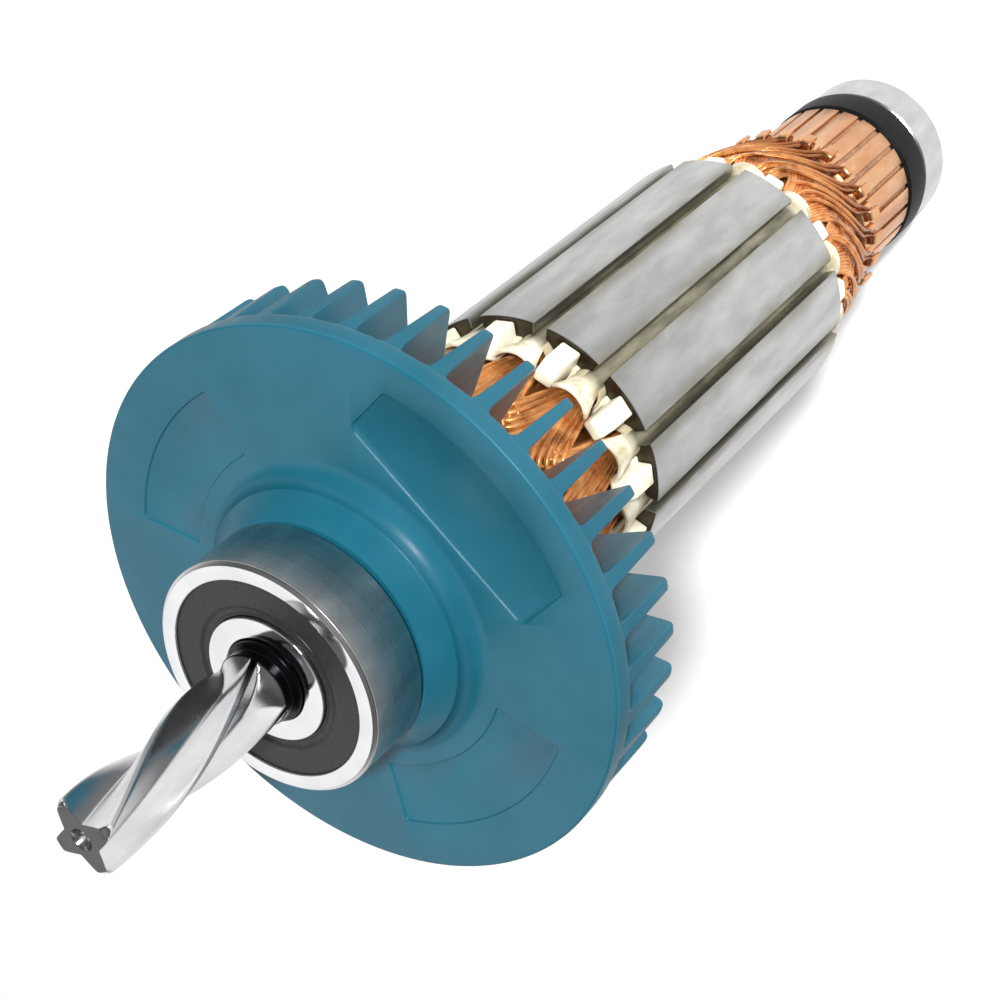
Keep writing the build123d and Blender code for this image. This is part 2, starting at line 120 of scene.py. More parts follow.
def rounded(points, radius, steps=3, closed=True):
    """Outline with its sharp corners turned into arcs, smaller ones where a side is short."""
    least_turn, share_of_side = radians(14), 0.45
    result = []
    for i, corner in enumerate(points):
        corner = Vector(corner[:2])
        if not closed and i in (0, len(points) - 1):
            result.append(tuple(corner))
            continue
        back = Vector(points[i - 1][:2]) - corner
        on = Vector(points[(i + 1) % len(points)][:2]) - corner
        turn = pi - back.angle(on)
        if turn < least_turn:
            result.append(tuple(corner))
            continue
        size = min(radius * tan(turn / 2), share_of_side * back.length, share_of_side * on.length)
        middle = (back.normalized() + on.normalized()).normalized()
        centre = corner + middle * size / cos(turn / 2) / tan(turn / 2)
        start = corner + back.normalized() * size - centre
        end = corner + on.normalized() * size - centre
        first = atan2(start.y, start.x)
        sweep = atan2(start.x * end.y - start.y * end.x, start.dot(end))
        for step in range(steps + 1):
            angle = first + sweep * step / steps
            result.append((centre.x + start.length * cos(angle), centre.y + start.length * sin(angle)))
    return result


def arc(centre, radius, first, last, steps):
    """Points on an arc, from the first angle to the last."""
    return [
        (centre[0] + radius * cos(radians(first + (last - first) * i / steps)),
         centre[1] + radius * sin(radians(first + (last - first) * i / steps)))
        for i in range(steps + 1)
    ]


def shrunk(points, inset):
    """Anticlockwise outline moved inwards by an inset."""
    result = []
    for i, point in enumerate(points):
        along = (Vector(points[(i + 1) % len(points)]) - Vector(points[i - 1])).normalized()
        result.append((point[0] - along.y * inset, point[1] + along.x * inset))
    return result


def placed(name, data):
    """New object in the scene."""
    thing = bpy.data.objects.new(name, data)
    scene.collection.objects.link(thing)
    return thing


def mesh_of(name, points, faces):
    """Mesh object with merged points and faces that point outwards."""
    same_place = 0.0005
    form = bmesh.new()
    verts = [form.verts.new(Vector(p) * MM) for p in points]
    for face in faces:
        corners = list(dict.fromkeys(face))
        if len(corners) > 2:
            form.faces.new([verts[i] for i in corners])
    bmesh.ops.remove_doubles(form, verts=form.verts, dist=same_place * MM)
    bmesh.ops.recalc_face_normals(form, faces=form.faces)
    mesh = bpy.data.meshes.new(name)
    form.to_mesh(mesh)
    form.free()
    return placed(name, mesh)


def bands(rows):
    """Faces between rings that have as many points each, from every ring to the next."""
    n = len(rows[0])
    faces = []
    for first in range(0, n * (len(rows) - 1), n):
        for i in range(n):
            a, b = first + i, first + (i + 1) % n
            faces.append((a, b, b + n, a + n))
    return faces


def capped(name, rows):
    """Mesh object through rings of points, with a flat face on the first ring and on the last."""
    n = len(rows[0])
    points = [p for row in rows for p in row]
    ends = [tuple(range(n)), tuple(range(len(points) - n, len(points)))]
    return mesh_of(name, points, ends + bands(rows))


def skin(name, rows, closed=False):
    """Mesh object through rings of points; a ring of one point is a pole."""
    points = [p for row in rows for p in row]
    starts = [sum(len(row) for row in rows[:i]) for i in range(len(rows))]
    faces = []
    pairs = list(zip(range(len(rows)), range(1, len(rows))))
    if closed:
        pairs.append((len(rows) - 1, 0))
    for a, b in pairs:
        n = max(len(rows[a]), len(rows[b]))
        for i in range(n):
            j = (i + 1) % n
            low = [starts[a] + k % len(rows[a]) for k in (i, j)]
            high = [starts[b] + k % len(rows[b]) for k in (j, i)]
            faces.append(low + high)
    return mesh_of(name, points, faces)


def lathe(name, outline, steps=192):
    """Turned object from a closed outline of (radius, level) points."""
    return skin(name, [[polar(r, 360 * i / steps, z) for i in range(steps)] for r, z in outline], closed=True)


def prism(name, outline, levels, hole_r=0.0):
    """Plate of an outline through (level, inset) pairs, with a round hole where a radius is given."""
    rows = []
    for z, inset in levels:
        ring = shrunk(outline, inset) if inset else outline
        rows.append([(x, y, z) for x, y in ring])
    n, steps = len(outline), 96
    points = [p for row in rows for p in row]
    faces = bands(rows)
    if not hole_r:
        return mesh_of(name, points, faces + [tuple(range(n)), tuple(range(len(points) - n, len(points)))])
    for ring in (0, len(rows) - 1):
        hole = [polar(hole_r, 360 * i / steps, levels[ring][0]) for i in range(steps)]
        base = len(points)
        points += hole
        loops = [[Vector((x, y, 0)) for x, y, _ in loop] for loop in (rows[ring], hole)]
        index = list(range(ring * n, ring * n + n)) + list(range(base, base + steps))
        faces += [tuple(index[i] for i in triangle) for triangle in tessellate_polygon(loops)]
    low, high = len(points) - 2 * steps, len(points) - steps
    faces += [(low + i, low + (i + 1) % steps, high + (i + 1) % steps, high + i) for i in range(steps)]
    return mesh_of(name, points, faces)


def plain(thing):
    """Object's evaluated shape as a plain mesh object at the origin, with no modifiers."""
    graph = bpy.context.evaluated_depsgraph_get()
    mesh = bpy.data.meshes.new_from_object(thing.evaluated_get(graph))
    name = thing.name
    bpy.data.objects.remove(thing)
    mesh.name = name
    return placed(name, mesh)


def bevelled(thing, width, segments, angle):
    """Edges sharper than an angle turned round by a bevel."""
    edge = thing.modifiers.new("edges", "BEVEL")
    edge.width = width * MM
    edge.segments = segments
    edge.limit_method = "ANGLE"
    edge.angle_limit = radians(angle)
    return plain(thing)


def joined(name, *things):
    """Several mesh objects as one."""
    form = bmesh.new()
    for thing in things:
        form.from_mesh(thing.data)
        bpy.data.objects.remove(thing)
    mesh = bpy.data.meshes.new(name)
    form.to_mesh(mesh)
    form.free()
    return placed(name, mesh)


def paint(thing, finish):
    thing.data.materials.clear()
    thing.data.materials.append(finish)


def finished(thing, finish, body, slot, *nodes, angle=35):
    """Piece with its finish, smooth shading, body and the nodes that it stands for, which are hidden; the
    slot is not used.
    """
    paint(thing, finish)
    thing.data.shade_smooth()
    thing.data.set_sharp_from_angle(angle=radians(angle))
    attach(thing, body)
    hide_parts(*nodes)


# Node trees

def grey(value):
    return (value, value, value)


class Nodes:
    """Short calls that add nodes to a tree and feed them."""

    def __init__(self, tree):
        self.nodes = tree.nodes
        self.links = tree.links

    def feed(self, socket, value):
        """Socket linked to another one, or set to a number or colour."""
        if isinstance(value, (int, float)):
            socket.default_value = value
        elif isinstance(value, tuple):
            socket.default_value = (*value, 1)
        else:
            self.links.new(value, socket)

    def math(self, operation, *values):
        node = self.nodes.new("ShaderNodeMath")
        node.operation = operation
        for socket, value in zip(node.inputs, values):
            self.feed(socket, value)
        return node.outputs[0]

    def ramp(self, factor, *stops):
        """Grey that follows a factor through (position, value) stops."""
        node = self.nodes.new("ShaderNodeValToRGB")
        elements = node.color_ramp.elements
        for i, (position, value) in enumerate(stops):
            stop = elements[i] if i < 2 else elements.new(position)
            stop.position = position
            stop.color = (*grey(value), 1)
        self.links.new(factor, node.inputs[0])
        return node.outputs["Color"]

    def between(self, factor, low, high, new_low, new_high):
        """Factor carried from one range to another, held at the ends."""
        node = self.nodes.new("ShaderNodeMapRange")
        labels = ("Value", "From Min", "From Max", "To Min", "To Max")
        for label, value in zip(labels, (factor, low, high, new_low, new_high)):
            self.feed(node.inputs[label], value)
        return node.outputs["Result"]

    def mix(self, factor, a, b, blend="MIX"):
        node = self.nodes.new("ShaderNodeMix")
        node.data_type = "RGBA"
        node.blend_type = blend
        colours = [s for s in node.inputs if s.type == "RGBA"]
        for socket, value in ((node.inputs["Factor"], factor), (colours[0], a), (colours[1], b)):
            self.feed(socket, value)
        return [s for s in node.outputs if s.type == "RGBA"][0]


def tree_with(name, *inputs):
    """Node group from geometry to geometry with these named inputs and a finish."""
    tree = bpy.data.node_groups.new(name, "GeometryNodeTree")
    tree.interface.new_socket("Geometry", in_out="INPUT", socket_type="NodeSocketGeometry")
    for label, kind in (*inputs, ("Finish", "Material")):
        tree.interface.new_socket(label, in_out="INPUT", socket_type="NodeSocket" + kind)
    tree.interface.new_socket("Geometry", in_out="OUTPUT", socket_type="NodeSocketGeometry")
    return tree, tree.nodes.new("NodeGroupInput").outputs, tree.nodes.new("NodeGroupOutput").inputs[0]


def link_all(tree, *pairs):
    for source, target in pairs:
        tree.links.new(source, target)


def paint_tree(tree, shape, finish, result):
    """Last nodes of a group: the shape made real and painted."""
    real = tree.nodes.new("GeometryNodeRealizeInstances")
    painted = tree.nodes.new("GeometryNodeSetMaterial")
    link_all(
        tree, (shape, real.inputs[0]), (real.outputs[0], painted.inputs["Geometry"]),
        (finish, painted.inputs["Material"]), (painted.outputs[0], result),
    )
    return tree


def around_shaft_tree():
    """Copies of a piece, evenly spaced about the shaft, each a little out of place."""
    tree, given, result = tree_with(
        "around_shaft", ("Count", "Int"), ("First Angle", "Float"), ("Uneven Turn", "Float"),
        ("Uneven Level", "Float"), ("Seed", "Int"),
    )
    n = Nodes(tree)

    def uneven(limit, seed):
        """Random value of a copy, up to a limit either way."""
        node = n.nodes.new("FunctionNodeRandomValue")
        node.data_type = "FLOAT"
        low, high = node.inputs[2], node.inputs[3]
        link_all(tree, (n.math("MULTIPLY", limit, -1), low), (limit, high), (seed, node.inputs["Seed"]))
        return node.outputs[1]

    points = n.nodes.new("GeometryNodePoints")
    turn = n.nodes.new("ShaderNodeCombineXYZ")
    place = n.nodes.new("ShaderNodeCombineXYZ")
    copies = n.nodes.new("GeometryNodeInstanceOnPoints")
    number = n.nodes.new("GeometryNodeInputIndex").outputs[0]
    angle = n.math("MULTIPLY_ADD", number, n.math("DIVIDE", 2 * pi, given["Count"]), given["First Angle"])
    link_all(
        tree,
        (n.math("ADD", angle, uneven(given["Uneven Turn"], given["Seed"])), turn.inputs["Z"]),
        (uneven(given["Uneven Level"], n.math("ADD", given["Seed"], 1)), place.inputs["Z"]),
        (given["Count"], points.inputs["Count"]),
        (place.outputs[0], points.inputs["Position"]),
        (points.outputs[0], copies.inputs["Points"]),
        (given["Geometry"], copies.inputs["Instance"]),
        (turn.outputs[0], copies.inputs["Rotation"]),
    )
    return paint_tree(tree, copies.outputs[0], given["Finish"], result)


def wire_tree():
    """Round wire along each spline of a curve."""
    tree, given, result = tree_with("wire", ("Radius", "Float"), ("Sides", "Int"))
    ring = tree.nodes.new("GeometryNodeCurvePrimitiveCircle")
    tube = tree.nodes.new("GeometryNodeCurveToMesh")
    tube.inputs["Fill Caps"].default_value = True
    link_all(
        tree,
        (given["Radius"], ring.inputs["Radius"]),
        (given["Sides"], ring.inputs["Resolution"]),
        (given["Geometry"], tube.inputs["Curve"]),
        (ring.outputs[0], tube.inputs["Profile Curve"]),
    )
    return paint_tree(tree, tube.outputs[0], given["Finish"], result)


AROUND_SHAFT = around_shaft_tree()
WIRE = wire_tree()


def grown(thing, tree, **values):
    """Result of a node group on an object, with its named inputs set first."""
    sockets = {item.name: item.identifier for item in tree.interface.items_tree if item.in_out == "INPUT"}
    nodes = thing.modifiers.new(tree.name, "NODES")
    nodes.node_group = tree
    for label, value in values.items():
        nodes[sockets[label.replace("_", " ").title()]] = value
    return plain(thing)


def around_shaft(thing, count, first_angle, finish, uneven_turn=0.0, uneven_level=0.0, seed=1):
    return grown(
        thing, AROUND_SHAFT, count=count, first_angle=radians(first_angle), finish=finish,
        uneven_turn=radians(uneven_turn), uneven_level=uneven_level * MM, seed=seed,
    )


def wires(name, routes, radius, finish, sides):
    """Wires of one radius along routes of points."""
    line = bpy.data.curves.new(name, "CURVE")
    line.dimensions = "3D"
    for route in routes:
        spline = line.splines.new("POLY")
        spline.points.add(len(route) - 1)
        for point, place in zip(spline.points, route):
            point.co = (*(Vector(place) * MM), 1)
    return grown(placed(name, line), WIRE, radius=radius * MM, sides=sides, finish=finish)


# Finishes

class Finish(Nodes):
    """Procedural material built up from the object's own coordinates."""

    def __init__(self, name, roughness, metallic=0.0):
        self.material = bpy.data.materials.new(name)
        self.material.use_nodes = True
        super().__init__(self.material.node_tree)
        self.shader = self.nodes["Principled BSDF"]
        self.shader.inputs["Roughness"].default_value = roughness
        self.shader.inputs["Metallic"].default_value = metallic
        self.where = self.nodes.new("ShaderNodeTexCoord").outputs["Object"]
        self.height = None

    def axes(self):
        node = self.nodes.new("ShaderNodeSeparateXYZ")
        self.links.new(self.where, node.inputs[0])
        return node.outputs

    def radius(self):
        x, y, _ = self.axes()
        return self.math("SQRT", self.math("ADD", self.math("MULTIPLY", x, x), self.math("MULTIPLY", y, y)))

    def noise(self, size, stretch=(1, 1, 1), detail=3.0, where=None):
        """Noise whose spots are about size millimetres wide, longer along a stretched axis."""
        place = self.nodes.new("ShaderNodeMapping")
        place.inputs["Scale"].default_value = tuple(1 / (size * MM * s) for s in stretch)
        self.links.new(where or self.where, place.inputs["Vector"])
        node = self.nodes.new("ShaderNodeTexNoise")
        node.inputs["Scale"].default_value = 1.0
        node.inputs["Detail"].default_value = detail
        node.inputs["Roughness"].default_value = 0.55
        self.links.new(place.outputs[0], node.inputs["Vector"])
        return node.outputs["Fac"]

    def mottled(self, noise, a, b, low=0.35, high=0.65):
        """Colour that goes from a to b as a noise goes from low to high."""
        return self.mix(self.between(noise, low, high, 0, 1), a, b)

    def worn(self, noise, least, most):
        """Roughness that follows a noise."""
        return self.between(noise, 0.3, 0.7, least, most)

    def turned_place(self):
        """Coordinates of a turned surface: (radius, 0, level), so that a pattern runs round the shaft."""
        node = self.nodes.new("ShaderNodeCombineXYZ")
        self.links.new(self.radius(), node.inputs["X"])
        self.links.new(self.axes()[2], node.inputs["Z"])
        return node.outputs[0]

    def colour(self, source):
        self.links.new(source, self.shader.inputs["Base Color"])

    def rough(self, source):
        self.links.new(source, self.shader.inputs["Roughness"])

    def bump(self, height, depth, strength):
        """Relief of a depth in millimetres; several calls add up."""
        node = self.nodes.new("ShaderNodeBump")
        node.inputs["Distance"].default_value = depth * MM
        node.inputs["Strength"].default_value = strength
        self.links.new(height, node.inputs["Height"])
        if self.height is not None:
            self.links.new(self.height, node.inputs["Normal"])
        self.height = node.outputs[0]
        self.links.new(self.height, self.shader.inputs["Normal"])
        return self


def fan_plastic():
    f = Finish("fan_plastic", roughness=0.38)
    tone = f.noise(9, detail=2)
    grain = f.noise(0.16, detail=1)
    scuff = f.noise(1.6, (1, 1, 3), detail=6)
    f.colour(f.mottled(tone, (0.005, 0.077, 0.116), (0.009, 0.090, 0.135)))
    f.rough(f.worn(scuff, 0.29, 0.41))
    f.shader.inputs["Specular IOR Level"].default_value = 0.42
    return f.bump(grain, depth=0.02, strength=0.35).material


def pinion_steel():
    """Polished steel, greyer on its flat tip, with a painted dark reflection on the neck behind the flutes.
    """
    crest_low, crest_high, neck_low, neck_high = 3.80, 3.94, 1.0, 5.0
    f = Finish("pinion_steel", roughness=0.16, metallic=1.0)
    level = f.axes()[2]
    tip = f.math("GREATER_THAN", level, (pinion_tip - skin_depth) * MM)
    lines = f.noise(0.09, (1, 1, 26), detail=2)
    tone = f.noise(2.2, (1, 1, 4), detail=3)
    steel = f.mottled(tone, (0.70, 0.70, 0.72), (0.82, 0.81, 0.81))
    flutes_end = (pinion_tip - fluted_length) * MM
    crests = f.between(f.radius(), crest_low * MM, crest_high * MM, 0, 1)
    near_fan = f.between(level, flutes_end + neck_low * MM, flutes_end + neck_high * MM, 1, 0)
    # painted reflection: the crests of the neck near the fan are painted almost black, where the steel
    # mirrors dark surroundings
    painted_neck_reflection = f.math("MULTIPLY", crests, near_fan)
    f.colour(f.mix(tip, f.mix(painted_neck_reflection, steel, (0.035, 0.03, 0.04)), (0.15, 0.145, 0.145)))
    f.rough(f.mix(tip, f.worn(lines, 0.13, 0.24), grey(0.45)))
    return f.bump(lines, depth=0.006, strength=0.5).material


def ring_steel():
    """Steel of both bearings: polished faces, a duller wall in front and duller all over at the rear; painted
    shade darkens the front wall and the whole rear bearing.
    """
    bevel_r, wall_r = 12.6, 12.93
    f = Finish("ring_steel", roughness=0.1, metallic=1.0)
    level, radius = f.axes()[2], f.radius()
    lines = f.noise(0.07, detail=3, where=f.turned_place())
    patches = f.noise(2.6, (1, 1, 2.5), detail=4)
    faces = f.mottled(f.noise(4, detail=2), (0.80, 0.81, 0.82), (0.88, 0.88, 0.88))
    # painted shade: darker steel on the front bearing's outer wall than on its faces
    painted_shade_walls = f.mottled(patches, (0.42, 0.41, 0.41), (0.62, 0.60, 0.58), high=0.7)
    # painted shade: darker steel over the whole rear bearing
    painted_shade_rear = f.mottled(patches, (0.60, 0.61, 0.62), (0.78, 0.78, 0.78), high=0.7)
    wall = f.math("MULTIPLY", f.math("GREATER_THAN", radius, wall_r * MM),
                  f.math("GREATER_THAN", level, fan_face * MM))
    rear = f.math("LESS_THAN", level, ring_base * MM)
    used = f.math("MAXIMUM", f.math("GREATER_THAN", radius, bevel_r * MM), rear)
    f.colour(f.mix(rear, f.mix(wall, faces, painted_shade_walls), painted_shade_rear))
    f.rough(f.mix(used, f.worn(lines, 0.06, 0.14), f.worn(lines, 0.24, 0.36)))
    return f.bump(lines, depth=0.002, strength=0.4).material


def core_steel():
    """Edges of stacked sheets, ground round, with varnish stains beside the slots that also carry painted
    shade, and painted shade on the ends.
    """
    sheet_pitch = 0.5
    f = Finish("ground_laminations", roughness=0.34, metallic=1.0)
    x, y, z = f.axes()
    sheets = f.math("SINE", f.math("MULTIPLY", z, 2 * pi / (sheet_pitch * MM)))
    lines = f.noise(0.10, detail=3, where=f.turned_place())
    streaks = f.noise(2.4, (1, 1, 3.2), detail=5)
    steel = f.mottled(streaks, (0.52, 0.53, 0.53), (0.70, 0.70, 0.69), high=0.7)
    turn = f.math("SUBTRACT", f.math("ARCTAN2", y, x), radians(slot_angle))
    pitches = f.math("ADD", f.math("DIVIDE", turn, radians(360 / slot_count)), 0.5)
    beside = f.math("ABSOLUTE", f.math("SUBTRACT", f.math("FRACT", pitches), 0.5))
    patches = f.between(f.noise(3.0, (1, 1, 3.5), detail=4), 0.36, 0.62, 0.25, 0.85)
    # varnish stain beside the slots, made darker to paint shade there as well
    stain_and_painted_shade = f.math("MULTIPLY", f.between(beside, 0.10, 0.30, 1, 0), patches)
    # painted shade: the core's end faces are painted near black
    ends = f.math("MAXIMUM", f.math("GREATER_THAN", z, (core_top - skin_depth) * MM),
                  f.math("LESS_THAN", z, (core_base + skin_depth) * MM))
    f.colour(f.mix(ends, f.mix(stain_and_painted_shade, steel, (0.38, 0.36, 0.28)), (0.07, 0.06, 0.045)))
    f.rough(f.between(f.math("ADD", f.math("MULTIPLY", lines, 0.8), stain_and_painted_shade), 0.2, 1.2, 0.27, 0.5))
    f.bump(sheets, depth=0.004, strength=0.35)
    return f.bump(lines, depth=0.006, strength=0.5).material


def insulator_plastic():
    f = Finish("insulator_plastic", roughness=0.42)
    tone = f.noise(2.5, detail=3)
    f.colour(f.mottled(tone, (0.76, 0.73, 0.60), (0.62, 0.57, 0.42), high=0.7))
    f.shader.inputs["Subsurface Weight"].default_value = 0.15
    f.shader.inputs["Subsurface Scale"].default_value = 0.0008
    return f.bump(f.noise(0.7, detail=3), depth=0.03, strength=0.4).material


def wedge_fibre():
    """Varnished paper, yellower down in the slots than at its cream ends, and darkened there by painted
    shade.
    """
    f = Finish("wedge_fibre", roughness=0.36)
    z = f.axes()[2]
    fade = 2
    past_ends = f.math("MAXIMUM", f.between(z, core_top * MM, (core_top + fade) * MM, 0, 1),
                       f.between(z, (core_base - fade) * MM, core_base * MM, 1, 0))
    tone = f.noise(1.4, (1, 1, 5), detail=4)
    # painted shade: the paper inside the slots is painted nearly black
    slot_colour_and_painted_shade = f.mottled(tone, (0.055, 0.05, 0.033), (0.19, 0.175, 0.12))
    ends = f.mottled(f.noise(1.8, detail=4), (0.66, 0.62, 0.49), (0.40, 0.34, 0.20), low=0.4)
    f.colour(f.mix(past_ends, slot_colour_and_painted_shade, ends))
    return f.bump(f.noise(0.4, (1, 1, 4), detail=3), depth=0.03, strength=0.5).material


def liner_paper():
    f = Finish("liner_paper", roughness=0.5)
    f.colour(f.mix(f.noise(0.8, (1, 1, 5), detail=3), (0.35, 0.29, 0.17), (0.55, 0.49, 0.34)))
    return f.bump(f.noise(0.3, detail=2), depth=0.02, strength=0.5).material


def winding_copper():
    """Enamelled wire under varnish, with painted shade in patches, deep inside the front coil ends and by the
    risers.
    """
    deep_r, open_r, riser_fade = 12.3, 13.6, 9
    f = Finish("winding_copper", roughness=0.3, metallic=0.75)
    tone = f.noise(1.5, detail=4)
    dark = f.noise(3.2, (1, 1, 1.4), detail=3)
    wire = f.mottled(tone, (0.70, 0.24, 0.06), (0.92, 0.43, 0.14))
    level = f.axes()[2]
    by_risers = f.between(level, rear_foot * MM, (rear_foot + riser_fade) * MM, 0.85, 0)
    # painted shade deep among the front coil ends and near the risers
    deep = f.math("MULTIPLY", f.between(f.radius(), deep_r * MM, open_r * MM, 0.9, 0),
                  f.math("GREATER_THAN", level, core_top * MM))
    painted_shade = f.math("MAXIMUM", f.between(dark, 0.52, 0.70, 0, 0.85), f.math("MAXIMUM", deep, by_risers))
    f.colour(f.mix(painted_shade, wire, (0.26, 0.075, 0.02)))
    f.rough(f.worn(tone, 0.22, 0.42))
    f.shader.inputs["Coat Weight"].default_value = 0.4
    f.shader.inputs["Coat Roughness"].default_value = 0.15
    return f.bump(f.noise(0.5, detail=3), depth=0.02, strength=0.4).material


def bar_copper():
    f = Finish("bar_copper", roughness=0.3, metallic=1.0)
    lines = f.noise(0.08, detail=3, where=f.turned_place())
    tone = f.noise(2.4, (1, 1, 3), detail=3)
    f.colour(f.mottled(tone, (0.80, 0.36, 0.15), (0.97, 0.55, 0.29)))
    f.rough(f.worn(lines, 0.24, 0.38))
    return f.bump(lines, depth=0.006, strength=0.5).material


def dull(name, dark, light, roughness, size=0.6, depth=0.02):
    """Matt finish with a fine grain."""
    f = Finish(name, roughness)
    f.colour(f.mottled(f.noise(size * 3, detail=4), dark, light))
    return f.bump(f.noise(size, detail=3), depth, strength=0.5).material


FAN = fan_plastic()
PINION = pinion_steel()
RING = ring_steel()
CORE = core_steel()
WHITE = insulator_plastic()
WEDGE = wedge_fibre()
LINER = liner_paper()
COPPER = winding_copper()
BAR = bar_copper()
SEAL = dull("seal_rubber", (0.012, 0.011, 0.011), (0.02, 0.019, 0.019), roughness=0.5, size=0.15, depth=0.008)
MICA = dull("mica", (0.20, 0.10, 0.05), (0.32, 0.18, 0.10), roughness=0.6)
HUB = dull("hub_resin", (0.02, 0.015, 0.012), (0.04, 0.03, 0.025), roughness=0.5)
BLACK = dull("black_plastic", grey(0.004), grey(0.008), roughness=0.45, size=0.2, depth=0.01)
BLACK.node_tree.nodes["Principled BSDF"].inputs["Specular IOR Level"].default_value = 0.12
SLEEVE = dull("resin_sleeve", (0.05, 0.03, 0.018), (0.10, 0.065, 0.04), roughness=0.45)
CAGE = dull("cage_steel", grey(0.30), grey(0.42), roughness=0.4)


# Pinion and shaft

crest_r, flank_r, gullet_edge_r, gullet_r = 4.0, 3.15, 2.2, 2.0
crest_flat, crest_half, flank_half, gullet_edge, gullet_middle = 3.2, 4.5, 15.0, 35.0, 45.0
crest_round, shoulder_slope = 0.05, 0.055


def tooth_radius(angle):
    """Radius of the pinion's section at an angle from the middle of a tooth, up to the gullet's middle."""
    if angle <= crest_half:
        return crest_r - crest_round * max(0.0, (angle - crest_flat) / (crest_half - crest_flat)) ** 2
    if angle >= gullet_edge:
        share = (gullet_middle - angle) / (gullet_middle - gullet_edge)
        return gullet_r + (gullet_edge_r - gullet_r) * share ** 2
    a, b, c = crest_half, flank_half, gullet_edge
    r = (
        crest_r * (angle - b) * (angle - c) / ((a - b) * (a - c))
        + flank_r * (angle - a) * (angle - c) / ((b - a) * (b - c))
        + gullet_edge_r * (angle - a) * (angle - b) / ((c - a) * (c - b))
    )
    return min(r, crest_r - crest_round - shoulder_slope * (angle - crest_half))


def shaft_piece():
    """Stepped shaft and twisted pinion as one skin, whose columns follow the flutes."""
    half = [0, 1.6, 3.2, 3.9, 4.5, 5.2, 6.2, 8, 10, 12.5, 15, 18, 21, 24, 27, 30, 33, 36, 39, 42, 45]
    tooth = [-a for a in reversed(half[1:])] + half[:-1]
    columns = [90 * tooth_number + a for tooth_number in range(4) for a in tooth]
    flute_end = pinion_tip - fluted_length
    depth = crest_r - gullet_r
    runout_r = (runout_length ** 2 + depth ** 2) / (2 * depth)
    bearing_low, bearing_high = span("front_bearing_inner_ring")
    rear_top = span("rear_bearing_inner_ring")[1]
    seat_r = bore("fan")
    seat_end, cone_end = bearing_high + 0.4, bearing_high + 0.9
    chamfer, edge_radius = 0.4, 0.12
    body = rounded([
        (0, shaft_end), (rear_seat_r - chamfer, shaft_end), (rear_seat_r, shaft_end + chamfer),
        (rear_seat_r, rear_top), (shaft_r, rear_top), (shaft_r, hub_rear), (seat_r, hub_rear),
        (seat_r, bearing_low), (front_seat_r, bearing_low), (front_seat_r, seat_end),
        (crest_r, cone_end), (crest_r, flute_end - 0.2),
    ], edge_radius, closed=False)
    first = tooth_angle_at_tip + 360 * fluted_length / pinion_lead
    rows = [[(0, 0, shaft_end)]]
    for r, z in body[1:]:
        rows.append([polar(r, first + a, z) for a in columns])
    steps = 72
    levels = [flute_end + (fluted_length - tip_chamfer) * i / steps for i in range(steps + 1)]
    for z in levels + [pinion_tip - 0.3, pinion_tip - 0.08, pinion_tip]:
        up = max(0.0, flute_end + runout_length - z)
        floor_r = gullet_r + runout_r - sqrt(max(0.0, runout_r ** 2 - up ** 2))
        turn = tooth_angle_at_tip + 360 * (pinion_tip - z) / pinion_lead
        past = max(0.0, z - (pinion_tip - tip_chamfer)) / tip_chamfer
        cap = crest_r - tip_chamfer * past ** 1.4
        row = []
        for a in columns:
            inside = abs((a + 45) % 90 - 45)
            row.append(polar(min(cap, max(floor_r, tooth_radius(inside))), turn + a, z))
        rows.append(row)
    mouth_r, hole_r, mouth_depth, hole_depth = 1.2, 0.7, 0.9, 2.4
    hole_floor = pinion_tip - hole_depth
    for r, z in ((mouth_r, pinion_tip), (hole_r, pinion_tip - mouth_depth), (hole_r, hole_floor)):
        rows.append([polar(r, tooth_angle_at_tip + a, z) for a in columns])
    rows.append([(0, 0, hole_floor)])
    return skin("shaft_and_pinion", rows)


finished(shaft_piece(), PINION, "armature", "shaft_steel", "shaft", angle=40)


# Bearings

def groove(pitch_r, ball_r, middle, wall_r):
    """Points of a ball groove in a ring's wall, from its lower edge to its upper one."""
    half = degrees(atan2(sqrt(ball_r ** 2 - (wall_r - pitch_r) ** 2), wall_r - pitch_r))
    if wall_r > pitch_r:
        return arc((pitch_r, middle), ball_r, -half, half, 10)
    return arc((pitch_r, middle), ball_r, 360 - half, half, 10)


